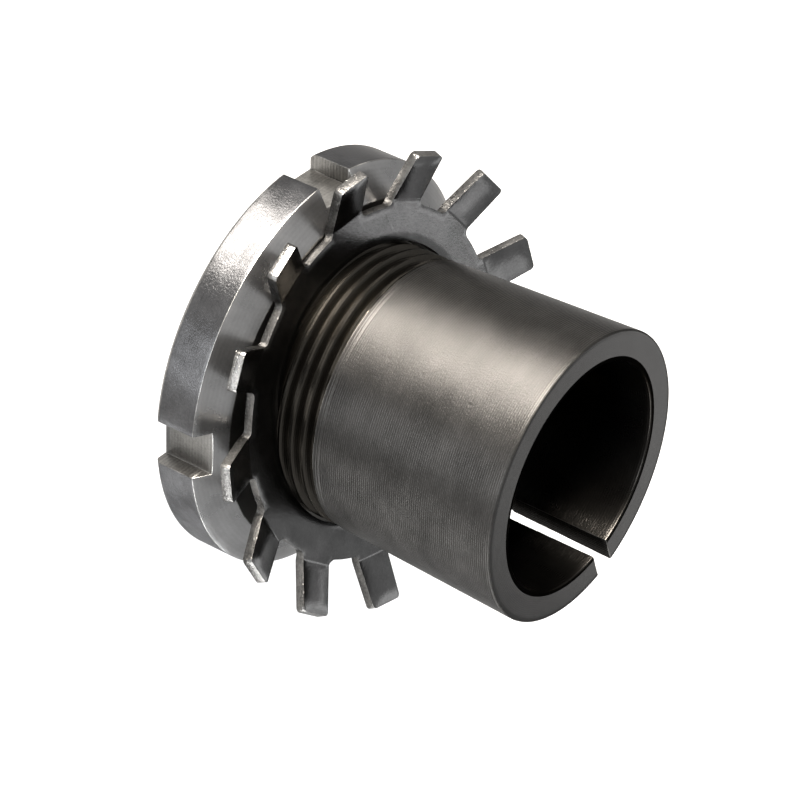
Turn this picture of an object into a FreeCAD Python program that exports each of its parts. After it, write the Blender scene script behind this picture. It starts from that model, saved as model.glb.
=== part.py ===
import FreeCAD, Part
import math
import os

import Sketcher

# Bearing adapter sleeve with its tab washer and slotted lock nut.
# +Z runs along the axis towards the large end of the sleeve, and the nut's back face
# lies on Z = 0. +X runs through the slit, the keyway and the washer's inner tab.
# Lengths are in millimetres and angles in degrees.

SIZES = [
    ("shaft_bore", 25.0, "diameter of the bore that grips the shaft"),
    ("large_end_wall", 3.35, "from the bore to the outside, at the large face"),
    ("taper_run", 12.0, "length of taper for 1 mm on the diameter"),
    ("taper_length", 21.7, "from the large face back to the start of the taper"),
    ("land_length", 0.85, "plain land between the thread and the taper"),
    ("crest_wall", 2.35, "from the bore to the land and the thread's crests"),
    ("thread_depth", 0.35, "from the crests to the middle of the thread"),
    ("thread_pitch", 1.5, "advance of the nut in one turn"),
    ("thread_end_chamfer", 0.9, "at the threaded end"),
    ("bore_edge_break", 0.15, "at both ends of the bore"),
    ("face_edge_break", 0.2, "outside, at the large face"),
    ("slit_width", 2.3, "saw cut through the whole length"),
    ("keyway_clearance", 0.06, "each side of the turned inner tab"),
    ("keyway_reach", 1.1, "full keyway left above the inner tab at the end of its travel"),
    ("cutter_radius", 12.0, "disc cutter that leaves the keyway's run-out"),
    ("nut_overhang", 3.0, "the nut's back face beyond the sleeve's threaded end"),
    ("nut_width", 7.0, "along the axis"),
    ("nut_face_width", 4.15, "from the thread's crests to the rim of the face"),
    ("nut_chamfer_width", 3.5, "from the rim of the face to the outside, seen along the axis"),
    ("nut_chamfer_angle", 30.0, "from the face down to the outside"),
    ("nut_back_chamfer", 0.5, "outside, at the back face"),
    ("nut_lead_in", 0.6, "at both ends of the nut's hole"),
    ("thread_clearance", 0.1, "between the nut's hole and the middle of the thread"),
    ("slot_count", 4, "spanner slots"),
    ("slot_width", 5.0, "across a spanner slot"),
    ("slot_depth", 2.0, "from the outside to a slot's floor"),
    ("nut_rest_angle", -21.6, "from +X to a spanner slot, as the nut stands"),
    ("washer_thickness", 1.0, "sheet"),
    ("washer_tilt", 9.0, "lean of the loose washer, its inner tab raised"),
    ("washer_turn", 2.5, "clockwise turn of the loose washer, seen from the large end"),
    ("washer_hole_clearance", 0.085, "between the tilted hole and the thread's crests"),
    ("washer_seat_clearance", 0.1, "between the nut's face and the washer's lowest edge"),
    ("washer_taper_clearance", 0.36, "below the taper, at the end of the washer's travel"),
    ("tab_count", 13, "outer tabs"),
    ("tab_root_width", 4.6, "across an outer tab at its bend"),
    ("tab_tip_width", 4.2, "across an outer tab at its tip"),
    ("tab_length", 5.2, "from the bend to the tip"),
    ("tab_bend_angle", 22.5, "towards the large end"),
    ("tab_bend_radius", 1.0, "inside the bend"),
    ("tab_bend_offset", 0.3, "from the washer's root circle to the bend"),
    ("tab_root_fillet", 0.8, "in the corners between the tabs"),
    ("tab_corner_radius", 0.5, "at the corners of a tip"),
    ("inner_tab_width", 5.0, "tab that rides in the keyway"),
    ("inner_tab_clearance", 0.16, "between the tilted inner tab's end and the shaft"),
]

doc = FreeCAD.newDocument("adapter_sleeve")
sheet = doc.addObject("Spreadsheet::Sheet", "Sizes")
for row, (alias, number, meaning) in enumerate(SIZES, start=1):
    sheet.set(f"A{row}", alias)
    sheet.set(f"B{row}", str(number))
    sheet.setAlias(f"B{row}", alias)
    sheet.set(f"C{row}", meaning)
doc.recompute()


def worked(expression):
    """The number that an expression on the sheet gives."""
    return float(sheet.evalExpression(expression))


def new_body(name):
    body = doc.addObject("PartDesign::Body", name)
    body.Label = name
    return body


def origin_part(body, role):
    """One of the body's own origin planes or axes."""
    return next(part for part in body.Origin.OriginFeatures if part.Role == role)


def new_sketch(body, name, plane):
    sketch = body.newObject("Sketcher::SketchObject", name)
    sketch.AttachmentSupport = [(origin_part(body, plane), "")]
    sketch.MapMode = "FlatFace"
    return sketch


def bind(sketch, constraint, expression):
    """Adds a dimension to a sketch and ties it to the sheet."""
    number = sketch.addConstraint(constraint)
    sketch.setExpression(f"Constraints[{number}]", expression)


def pin(sketch, element, end, place):
    """Ties one point of a sketch to two expressions, its distances from the origin."""
    across, along = place
    bind(sketch, Sketcher.Constraint("DistanceX", element, end, worked(across)), across)
    bind(sketch, Sketcher.Constraint("DistanceY", element, end, worked(along)), along)


def point(place):
    return FreeCAD.Vector(worked(place[0]), worked(place[1]), 0)


def arc_between(start, end, radius, turns_left):
    """Arc of less than half a turn from start to end, bulging to the right if it turns left."""
    chord = end - start
    rise = math.sqrt(radius ** 2 - (chord.Length / 2) ** 2)
    normal = FreeCAD.Vector(-chord.y, chord.x, 0).normalize()
    if not turns_left:
        normal = normal * -1
    centre = (start + end) * 0.5 + normal * rise
    first, last = (start, end) if turns_left else (end, start)
    angles = [math.atan2(p.y - centre.y, p.x - centre.x) for p in (first, last)]
    circle = Part.Circle(centre, FreeCAD.Vector(0, 0, 1), radius)
    return Part.ArcOfCircle(circle, angles[0], angles[1])


def outline(body, name, plane, corners, arcs=None):
    """Closed outline whose corners, and the radii of its arcs, follow the sheet.

    An entry of arcs gives, for the edge that leaves that corner, its radius and
    whether it turns left.
    """
    arcs = arcs or {}
    sketch = new_sketch(body, name, plane)
    places = [point(corner) for corner in corners]
    count = len(places)
    ends = []
    for edge in range(count):
        start, end = places[edge], places[(edge + 1) % count]
        if edge in arcs:
            radius, turns_left = arcs[edge]
            sketch.addGeometry(arc_between(start, end, worked(radius), turns_left), False)
            ends.append((1, 2) if turns_left else (2, 1))
        else:
            sketch.addGeometry(Part.LineSegment(start, end), False)
            ends.append((1, 2))
    for edge in range(count):
        after = (edge + 1) % count
        joint = Sketcher.Constraint("Coincident", edge, ends[edge][1], after, ends[after][0])
        sketch.addConstraint(joint)
    for edge, corner in enumerate(corners):
        pin(sketch, edge, ends[edge][0], corner)
    for edge, (radius, turns_left) in arcs.items():
        bind(sketch, Sketcher.Constraint("Radius", edge, worked(radius)), radius)
    return sketch


def turned(body, name, sketch):
    """Full turn of a sketch about the body's axis."""
    revolution = body.newObject("PartDesign::Revolution", name)
    revolution.Profile = sketch
    revolution.ReferenceAxis = (sketch, ["V_Axis"])
    revolution.Angle = 360
    return revolution


def cut_through(body, name, sketch, length):
    """Pocket of the given length, half of it on each side of its sketch."""
    pocket = body.newObject("PartDesign::Pocket", name)
    pocket.Profile = sketch
    pocket.SideType = "Symmetric"
    pocket.Type = "Length"
    pocket.setExpression("Length", length)
    return pocket


def repeated(body, name, feature, count):
    """The feature repeated evenly about the body's axis."""
    pattern = body.newObject("PartDesign::PolarPattern", name)
    pattern.Originals = [feature]
    pattern.Axis = (origin_part(body, "Z_Axis"), [""])
    pattern.Angle = 360
    pattern.setExpression("Occurrences", count)
    body.Tip = pattern
    return pattern


# Places that more than one piece shares

SHAFT_RADIUS = "(Sizes.shaft_bore / 2)"
CREST_RADIUS = f"({SHAFT_RADIUS} + Sizes.crest_wall)"
THREAD_RADIUS = f"({CREST_RADIUS} - Sizes.thread_depth)"
FACE_RADIUS = f"({CREST_RADIUS} + Sizes.nut_face_width)"

# The washer leans about its middle, which lies on the axis. Its lowest edge, on the
# side away from the inner tab, rests on the rim of the nut's face. Its hole clears
# the crests, and its inner tab the shaft, although the lean brings them closer.
RISE = "sin(Sizes.washer_tilt)"
LEVEL = "cos(Sizes.washer_tilt)"
WASHER_HALF = "(Sizes.washer_thickness / 2)"
WASHER_HEIGHT = (
    f"(Sizes.nut_width + Sizes.washer_seat_clearance + {FACE_RADIUS} * {RISE}"
    f" + {WASHER_HALF} * {LEVEL})"
)
WASHER_HOLE = f"(({CREST_RADIUS} + Sizes.washer_hole_clearance + {WASHER_HALF} * {RISE}) / {LEVEL})"
INNER_TAB_END = f"(({SHAFT_RADIUS} + Sizes.inner_tab_clearance + {WASHER_HALF} * {RISE}) / {LEVEL})"


def highest(radius):
    """Height of the washer's upper side at this radius, one turn of the nut up."""
    return f"({WASHER_HEIGHT} + {radius} * {RISE} + {WASHER_HALF} * {LEVEL} + Sizes.thread_pitch)"


SLEEVE_BASE = "Sizes.nut_overhang"
TAPER_START = f"({highest(WASHER_HOLE)} + Sizes.washer_taper_clearance)"
SLEEVE_TOP = f"({TAPER_START} + Sizes.taper_length)"


def make_sleeve():
    """Split sleeve: taper, land and threaded end turned, then keyway and slit cut."""
    body = new_body("sleeve")
    bore = SHAFT_RADIUS
    large = f"({SHAFT_RADIUS} + Sizes.large_end_wall)"
    small = f"{large} - Sizes.taper_length / Sizes.taper_run / 2"
    land_start = f"{TAPER_START} - Sizes.land_length"
    section = outline(body, "sleeve_section", "XZ_Plane", [
        (f"{bore} + Sizes.bore_edge_break", SLEEVE_BASE),
        (f"{THREAD_RADIUS} - Sizes.thread_end_chamfer", SLEEVE_BASE),
        (THREAD_RADIUS, f"{SLEEVE_BASE} + Sizes.thread_end_chamfer"),
        (THREAD_RADIUS, f"{land_start} - Sizes.thread_depth"),
        (CREST_RADIUS, land_start),
        (CREST_RADIUS, TAPER_START),
        (small, TAPER_START),
        (f"{large} - Sizes.face_edge_break / Sizes.taper_run / 2",
         f"{SLEEVE_TOP} - Sizes.face_edge_break"),
        (f"{large} - Sizes.face_edge_break", SLEEVE_TOP),
        (f"{bore} + Sizes.bore_edge_break", SLEEVE_TOP),
        (bore, f"{SLEEVE_TOP} - Sizes.bore_edge_break"),
        (bore, f"{SLEEVE_BASE} + Sizes.bore_edge_break"),
    ])
    turned(body, "sleeve_turning", section)

    # The keyway goes right through the wall, past the inner tab at the end of its
    # travel, and runs out towards the large end as the disc cutter leaves it.
    overlap = "Sizes.slit_width / 2"
    floor = f"({bore} - {overlap})"
    rim = f"({large} + {overlap})"
    full_depth = f"({highest(CREST_RADIUS)} + Sizes.keyway_reach)"
    rise = f"({rim} - {floor})"
    run_out = f"sqrt(Sizes.cutter_radius ^ 2 - (Sizes.cutter_radius - {rise}) ^ 2)"
    keyway = outline(body, "keyway_section", "XZ_Plane", [
        (floor, f"{SLEEVE_BASE} - {overlap}"),
        (floor, full_depth),
        (rim, f"{full_depth} + {run_out}"),
        (rim, f"{SLEEVE_BASE} - {overlap}"),
    ], {1: ("Sizes.cutter_radius", False)})
    half_tab = "Sizes.inner_tab_width / 2 * cos(Sizes.washer_turn)"
    swing = f"{CREST_RADIUS} * sin(Sizes.washer_turn)"
    cut_through(body, "keyway", keyway, f"2 * ({half_tab} + {swing} + Sizes.keyway_clearance)")

    slit = outline(body, "slit_section", "XZ_Plane", [
        (floor, f"{SLEEVE_BASE} - {overlap}"),
        (floor, f"{SLEEVE_TOP} + {overlap}"),
        (rim, f"{SLEEVE_TOP} + {overlap}"),
        (rim, f"{SLEEVE_BASE} - {overlap}"),
    ])
    cut_through(body, "slit", slit, "Sizes.slit_width")
    return body


def gap_sketch(body, tip_radius):
    """Gap between two outer tabs, seen along the axis and centred on -X.

    Its sides follow the flanks of the two tabs, and its inner corners are rounded
    into the washer's root circle.
    """
    sketch = new_sketch(body, "tab_gap_outline", "XY_Plane")
    half_step = "(180 / Sizes.tab_count)"
    root = worked(FACE_RADIUS)
    fillet = worked("Sizes.tab_root_fillet")
    bend = f"({FACE_RADIUS} + Sizes.tab_bend_offset)"
    reach = f"({tip_radius} + Sizes.washer_thickness)"

    def on_flank(radius, half_width, side):
        """Point beside a tab's middle line, towards the gap."""
        across = f"-({radius} * cos({half_step}) + {half_width} * sin({half_step}))"
        along = f"{side} * ({radius} * sin({half_step}) - {half_width} * cos({half_step}))"
        return across, along

    feet = []
    outer_ends = []
    for side in (1, -1):
        root_place = on_flank(bend, "Sizes.tab_root_width / 2", side)
        tip_place = on_flank(tip_radius, "Sizes.tab_tip_width / 2", side)
        near, far = point(root_place), point(tip_place)
        flank = (far - near).normalize()
        into_gap = FreeCAD.Vector(-flank.y, flank.x, 0) * side
        # centre of the corner's rounding, off both the flank and the root circle
        start = near + into_gap * fillet
        middle = start.dot(flank)
        back = -middle - math.sqrt(middle ** 2 - start.dot(start) + (root + fillet) ** 2)
        forward = -middle + math.sqrt(middle ** 2 - start.dot(start) + (root + fillet) ** 2)
        centre = start + flank * min(back, forward, key=abs)
        on_line = centre - into_gap * fillet
        on_root = centre * (root / (root + fillet))
        outer = near + flank * ((worked(reach) + near.x) / -flank.x)
        edge = sketch.addGeometry(Part.LineSegment(on_line, outer), False)
        angles = [math.atan2(p.y - centre.y, p.x - centre.x) for p in (on_line, on_root)]
        if side > 0:
            angles.reverse()
        circle = Part.Circle(centre, FreeCAD.Vector(0, 0, 1), fillet)
        rounding = sketch.addGeometry(Part.ArcOfCircle(circle, angles[0], angles[1]), False)
        line_end, root_end = (2, 1) if side > 0 else (1, 2)
        sketch.addConstraint(Sketcher.Constraint("Tangent", edge, 1, rounding, line_end))
        bind(sketch, Sketcher.Constraint("Radius", rounding, fillet), "Sizes.tab_root_fillet")
        for place in (root_place, tip_place):
            mark = sketch.addGeometry(Part.Point(point(place)), True)
            pin(sketch, mark, 1, place)
            sketch.addConstraint(Sketcher.Constraint("PointOnObject", mark, 1, edge))
        bind(sketch, Sketcher.Constraint("DistanceX", edge, 2, -worked(reach)), f"-{reach}")
        feet.append((rounding, root_end, on_root))
        outer_ends.append((edge, outer))

    upper, lower = feet
    angles = [math.atan2(foot[2].y, foot[2].x) % (2 * math.pi) for foot in feet]
    circle = Part.Circle(FreeCAD.Vector(0, 0, 0), FreeCAD.Vector(0, 0, 1), root)
    base = sketch.addGeometry(Part.ArcOfCircle(circle, angles[0], angles[1]), False)
    sketch.addConstraint(Sketcher.Constraint("Coincident", base, 3, -1, 1))
    bind(sketch, Sketcher.Constraint("Radius", base, root), FACE_RADIUS)
    sketch.addConstraint(Sketcher.Constraint("Tangent", base, 1, upper[0], upper[1]))
    sketch.addConstraint(Sketcher.Constraint("Tangent", base, 2, lower[0], lower[1]))
    rim = sketch.addGeometry(Part.LineSegment(outer_ends[0][1], outer_ends[1][1]), False)
    for end, (edge, place) in enumerate(outer_ends, start=1):
        sketch.addConstraint(Sketcher.Constraint("Coincident", rim, end, edge, 2))
    return sketch


def make_washer():
    """Tab washer: dished blank, gaps cut between its tabs, inner tab left standing."""
    body = new_body("lock_washer")
    bend = f"({FACE_RADIUS} + Sizes.tab_bend_offset)"
    inside = "Sizes.tab_bend_radius"
    outside = "(Sizes.tab_bend_radius + Sizes.washer_thickness)"
    turn = "Sizes.tab_bend_angle"
    centre_height = f"({WASHER_HALF} + {inside})"
    lower_bend = (f"{bend} + {outside} * sin({turn})", f"{centre_height} - {outside} * cos({turn})")
    upper_bend = (f"{bend} + {inside} * sin({turn})", f"{centre_height} - {inside} * cos({turn})")
    along = (f"Sizes.tab_length * cos({turn})", f"Sizes.tab_length * sin({turn})")
    section = outline(body, "washer_section", "XZ_Plane", [
        (WASHER_HOLE, f"-{WASHER_HALF}"),
        (bend, f"-{WASHER_HALF}"),
        lower_bend,
        (f"{lower_bend[0]} + {along[0]}", f"{lower_bend[1]} + {along[1]}"),
        (f"{upper_bend[0]} + {along[0]}", f"{upper_bend[1]} + {along[1]}"),
        upper_bend,
        (bend, WASHER_HALF),
        (WASHER_HOLE, WASHER_HALF),
    ], {1: (outside, True), 5: (inside, False)})
    turned(body, "washer_dish", section)

    gap = gap_sketch(body, f"({lower_bend[0]} + {along[0]})")
    height = f"2 * (Sizes.tab_length + {outside})"
    pocket = cut_through(body, "tab_gap", gap, height)
    gaps = repeated(body, "tab_gaps", pocket, "Sizes.tab_count")
    doc.recompute()

    # The tips' corners are the short edges through the sheet, at the far ends of the tabs.
    tip_radius = worked(lower_bend[0]) + worked(along[0]) - worked("Sizes.washer_thickness")
    longest = 1.2 * worked("Sizes.washer_thickness")
    corners = [
        f"Edge{number}" for number, edge in enumerate(gaps.Shape.Edges, start=1)
        if edge.Length < longest
        and all(math.hypot(v.X, v.Y) > tip_radius for v in edge.Vertexes)
    ]
    rounding = body.newObject("PartDesign::Fillet", "tip_corners")
    rounding.Base = (gaps, corners)
    rounding.setExpression("Radius", "Sizes.tab_corner_radius")

    half_width = "Sizes.inner_tab_width / 2"
    root = f"({WASHER_HOLE} + Sizes.washer_thickness)"
    tab = outline(body, "inner_tab_outline", "XY_Plane", [
        (INNER_TAB_END, f"-{half_width}"),
        (root, f"-{half_width}"),
        (root, half_width),
        (INNER_TAB_END, half_width),
    ])
    pad = body.newObject("PartDesign::Pad", "inner_tab")
    pad.Profile = tab
    pad.SideType = "Symmetric"
    pad.Type = "Length"
    pad.setExpression("Length", "Sizes.washer_thickness")
    body.Tip = pad
    body.setExpression(
        "Placement",
        f"placement(vector(0; 0; {WASHER_HEIGHT});"
        " rotation(-Sizes.washer_turn; -Sizes.washer_tilt; 0))",
    )
    return body


def make_nut():
    """Round nut: turned with a conical chamfer to its face, spanner slots milled after."""
    body = new_body("lock_nut")
    outside = f"({FACE_RADIUS} + Sizes.nut_chamfer_width)"
    hole = f"({THREAD_RADIUS} + Sizes.thread_clearance)"
    chamfer_height = "Sizes.nut_chamfer_width * tan(Sizes.nut_chamfer_angle)"
    section = outline(body, "nut_section", "XZ_Plane", [
        (f"{hole} + Sizes.nut_lead_in", "0"),
        (f"{outside} - Sizes.nut_back_chamfer", "0"),
        (outside, "Sizes.nut_back_chamfer"),
        (outside, f"Sizes.nut_width - {chamfer_height}"),
        (FACE_RADIUS, "Sizes.nut_width"),
        (f"{hole} + Sizes.nut_lead_in", "Sizes.nut_width"),
        (hole, "Sizes.nut_width - Sizes.nut_lead_in"),
        (hole, "Sizes.nut_lead_in"),
    ])
    turned(body, "nut_turning", section)

    floor = f"{outside} - Sizes.slot_depth"
    mouth = f"{outside} + Sizes.slot_depth"
    half_width = "Sizes.slot_width / 2"
    slot = outline(body, "slot_outline", "XY_Plane", [
        (floor, f"-{half_width}"),
        (mouth, f"-{half_width}"),
        (mouth, half_width),
        (floor, half_width),
    ])
    pocket = cut_through(body, "slot", slot, "2 * Sizes.nut_width + Sizes.slot_depth")
    repeated(body, "slots", pocket, "Sizes.slot_count")
    body.setExpression(
        "Placement",
        "placement(vector(0; 0; 0); rotation(Sizes.nut_rest_angle; 0; 0))",
    )
    return body


def check_model(bodies):
    """Stops before anything is written if a feature failed or a cut took nothing away."""
    for item in doc.Objects:
        if "Invalid" in item.State or "Error" in item.State:
            raise RuntimeError(f"{item.Name} failed: {item.State}")
    for body in bodies:
        if body.Shape.isNull() or not body.Shape.isValid():
            raise RuntimeError(f"{body.Name} has no valid shape")
        if len(body.Shape.Solids) != 1:
            raise RuntimeError(f"{body.Name} is not one solid")
        for feature in body.Group:
            if feature.TypeId == "PartDesign::Pocket":
                before = feature.BaseFeature.Shape.Volume
                if feature.Shape.Volume >= before:
                    raise RuntimeError(f"{feature.Name} cuts nothing")


bodies = [make_sleeve(), make_washer(), make_nut()]
doc.recompute()
check_model(bodies)
os.makedirs("parts", exist_ok=True)
for body in bodies:
    body.Shape.exportStep(f"parts/{body.Label}.step")
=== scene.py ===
import math

import bmesh
import bpy
from mathutils import Matrix, Vector, noise
from mathutils.geometry import delaunay_2d_cdt


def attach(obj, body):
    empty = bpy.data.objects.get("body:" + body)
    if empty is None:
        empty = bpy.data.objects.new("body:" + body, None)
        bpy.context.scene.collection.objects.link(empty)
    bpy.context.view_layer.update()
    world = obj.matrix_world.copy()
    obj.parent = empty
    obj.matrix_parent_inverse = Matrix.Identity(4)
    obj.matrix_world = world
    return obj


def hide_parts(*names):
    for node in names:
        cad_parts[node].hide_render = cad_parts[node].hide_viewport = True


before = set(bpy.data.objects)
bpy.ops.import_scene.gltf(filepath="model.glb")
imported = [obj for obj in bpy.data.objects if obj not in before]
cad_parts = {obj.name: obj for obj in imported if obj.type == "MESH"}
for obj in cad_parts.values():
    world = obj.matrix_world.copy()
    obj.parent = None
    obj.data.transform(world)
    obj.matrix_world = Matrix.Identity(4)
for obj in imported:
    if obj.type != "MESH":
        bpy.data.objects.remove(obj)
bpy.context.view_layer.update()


# The sleeve: turned from one bar of dark steel, with a straight bore and a 1 in 12 taper outside. Its end has
# a thread of 1.5 mm pitch, with a keyway milled over the slit. A saw cuts the slit through the whole length.
MM = 0.001
TURN = 2 * math.pi
STEEL_TURNED, STEEL_THREAD, STEEL_FACED, STEEL_BORED, STEEL_CUT, STEEL_EDGE = range(6)

thread_pitch = 1.5
thread_phase = 10.48
sleeve_root = 14.0
land_radius = 14.85
thread_top = 13.955
sleeve_end = 3.0
sleeve_face = 36.998
bore_radius = 12.5
slit_half = 1.15
land_start = 14.45
taper_start = 15.298
taper_foot = 14.946
# Rows of one tooth of the thread, in pitches from the middle of its crest.
tooth_rows = (-0.5, -0.43, -0.385, -0.30, -0.20, -0.115, -0.075, 0.075, 0.115, 0.20, 0.30, 0.385, 0.43)


def taper_radius(height):
    """Radius of the taper: 1 in 12 across, so 1 in 24 on each side."""
    return taper_foot + (height - taper_start) / 24


def rounded(centre_radius, centre_height, size, start, end, steps=3):
    """Profile points on an edge round, with the direction into the metal."""
    points = []
    for step in range(steps + 1):
        angle = math.radians(start + (end - start) * step / steps)
        across, along = math.cos(angle), math.sin(angle)
        points.append((centre_radius + size * across, centre_height + size * along, -across, -along))
    return points


def straight(first, last, steps, inward):
    """Profile points from first to last, without the last one."""
    return [
        (
            first[0] + (last[0] - first[0]) * step / steps,
            first[1] + (last[1] - first[1]) * step / steps,
            *inward,
        )
        for step in range(steps)
    ]


def helix_rows(lowest, highest, first_turn, last_turn):
    """Rows of a thread, in pitches above its phase, that cover lowest to highest at every turn."""
    rows = []
    pitch_number = math.floor((lowest - thread_phase) / thread_pitch - last_turn) - 1
    while True:
        for part in tooth_rows:
            rows.append(pitch_number + part)
        pitch_number += 1
        if (pitch_number - 0.5 + first_turn) * thread_pitch + thread_phase > highest:
            rows.append(pitch_number - 0.5)
            return rows


def new_piece(name, bm):
    """A mesh object from millimetres, at the origin."""
    bmesh.ops.scale(bm, vec=(MM, MM, MM), verts=bm.verts)
    mesh = bpy.data.meshes.new(name)
    bm.to_mesh(mesh)
    bm.free()
    piece = bpy.data.objects.new(name, mesh)
    bpy.context.scene.collection.objects.link(piece)
    return piece


def sleeve_blank():
    """The profile carried round from one slit wall to the other, walls left open."""
    bm = bmesh.new()
    kind_of = bm.faces.layers.int.new("kind")
    turn_of = bm.verts.layers.float.new("turn")
    row_of = bm.verts.layers.float.new("row")
    helical_of = bm.verts.layers.float.new("helical")
    thread_of = bm.verts.layers.float.new("on_thread")
    profile = []

    def add(points, kind):
        profile.extend((*point, kind, None) for point in points)

    # Sizes of the roundings at the bore's two mouths and at the taper's rim.
    edge, rim = 0.15, 0.2
    rim_top = sleeve_face - rim
    add(rounded(bore_radius + edge, sleeve_end + edge, edge, 270, 180), STEEL_BORED)
    add(straight((bore_radius, 3.6), (bore_radius, sleeve_face - edge), 60, (1, 0)), STEEL_BORED)
    add(rounded(bore_radius + edge, sleeve_face - edge, edge, 180, 90), STEEL_BORED)
    add(straight((13.0, sleeve_face), (15.5, sleeve_face), 8, (0, -1)), STEEL_FACED)
    add(rounded(taper_radius(rim_top) - rim, rim_top, rim, 90, 0), STEEL_TURNED)
    add(straight((taper_radius(36.4), 36.4), (taper_foot, taper_start), 42, (-1, 0)), STEEL_TURNED)
    # The tool's fine line between the taper and the land, and the land down to the thread.
    add([(taper_foot, taper_start, -1, 0), (land_radius + 0.01, 15.26, -1, 0),
         (land_radius - 0.05, 15.22, -1, 0), (land_radius, 15.16, -1, 0)], STEEL_TURNED)
    add(straight((land_radius, 15.0), (land_radius, 14.52), 3, (-1, 0)), STEEL_TURNED)
    add([(land_radius, 14.50, -1, 0), (land_radius - 0.03, land_start, -1, 0)], STEEL_TURNED)
    # Level rings where the thread runs out into the land, and below them rows that climb with the thread. The
    # thread's tree gives both their radius, and this one only places the slit's walls.
    wall_radius = 14.2
    ramp_steps = 9
    ramp = [land_start - (land_start - thread_top) * step / ramp_steps for step in range(1, ramp_steps + 1)]
    profile.extend((wall_radius, height, -1, 0, STEEL_THREAD, "ring") for height in ramp)
    for row in reversed(helix_rows(sleeve_end, thread_top, 0.0, 1.0)):
        profile.append((wall_radius, 0, -1, 0, STEEL_THREAD, row))
    add([(13.6, sleeve_end, 0, 1)], STEEL_FACED)
    add(straight((13.4, sleeve_end), (12.7, sleeve_end), 3, (0, 1)), STEEL_FACED)

    # The saw leaves a burr along the slit, which is uneven except on the thread.
    columns = 256
    thread_burr, mean_burr, burr_spread = 0.05, 0.055, 0.05
    grid = []
    for number, (radius, height, inward_radius, inward_height, kind, row) in enumerate(profile):
        burr = thread_burr
        if row is None:
            burr = mean_burr + burr_spread * noise.noise((number * 0.73, kind * 3.1, 0.4))
        ring = []
        for column in range(columns + 1):
            at_wall = column in (0, columns)
            reach = radius + burr * inward_radius * at_wall
            level = height + burr * inward_height * at_wall
            first = math.asin((slit_half + (0 if at_wall else burr)) / reach)
            share = min(max((column - 1) / (columns - 2), 0), 1)
            angle = first + share * (TURN - 2 * first)
            vert = bm.verts.new((reach * math.cos(angle), reach * math.sin(angle), level))
            vert[turn_of] = angle / TURN
            vert[thread_of] = float(row is not None)
            vert[helical_of] = float(isinstance(row, float))
            vert[row_of] = row if isinstance(row, float) else 0.0
            ring.append(vert)
        grid.append(ring)
    for number, ring in enumerate(grid):
        following = grid[(number + 1) % len(grid)]
        for column in range(columns):
            face = bm.faces.new((ring[column], ring[column + 1], following[column + 1], following[column]))
            face[kind_of] = profile[number][4] if column not in (0, columns - 1) else STEEL_EDGE
            face.smooth = True
    return new_piece("tapered_sleeve", bm)


def node_tree(name, tree_type, inputs, outputs):
    """A node group with named sockets, each (name, socket type, value)."""
    tree = bpy.data.node_groups.new(name, tree_type)
    for side, sockets in (("INPUT", inputs), ("OUTPUT", outputs)):
        for socket_name, socket_type, *value in sockets:
            made = tree.interface.new_socket(socket_name, in_out=side, socket_type="NodeSocket" + socket_type)
            if value:
                made.default_value = value[0]
    entry = tree.nodes.new("NodeGroupInput")
    leave = tree.nodes.new("NodeGroupOutput")
    return tree, entry.outputs, leave.inputs


def place(tree, kind, settings=(), **values):
    """A node with its settings and its inputs, which are values or the outputs of other nodes."""
    node = tree.nodes.new(kind)
    for setting, value in dict(settings).items():
        setattr(node, setting, value)
    for label, value in values.items():
        label = label.replace("_", " ")
        by_number = label[0] == "i" and label[1:].isdigit()
        socket = node.inputs[int(label[1:]) if by_number else label]
        if isinstance(value, bpy.types.NodeSocket):
            tree.links.new(value, socket)
        else:
            socket.default_value = value
    return node


def maths(tree, operation, first, second=None, third=None, clamp=False):
    """The output of a Math node on one, two or three values."""
    values = {f"i{number}": value for number, value in enumerate((first, second, third)) if value is not None}
    return place(tree, "ShaderNodeMath", {"operation": operation, "use_clamp": clamp}, **values).outputs[0]


def named(tree, name, data_type="FLOAT"):
    """The output that reads a mark of the blank's points or faces."""
    mark = place(tree, "GeometryNodeInputNamedAttribute", {"data_type": data_type}, Name=name)
    return mark.outputs["Attribute"]


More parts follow.
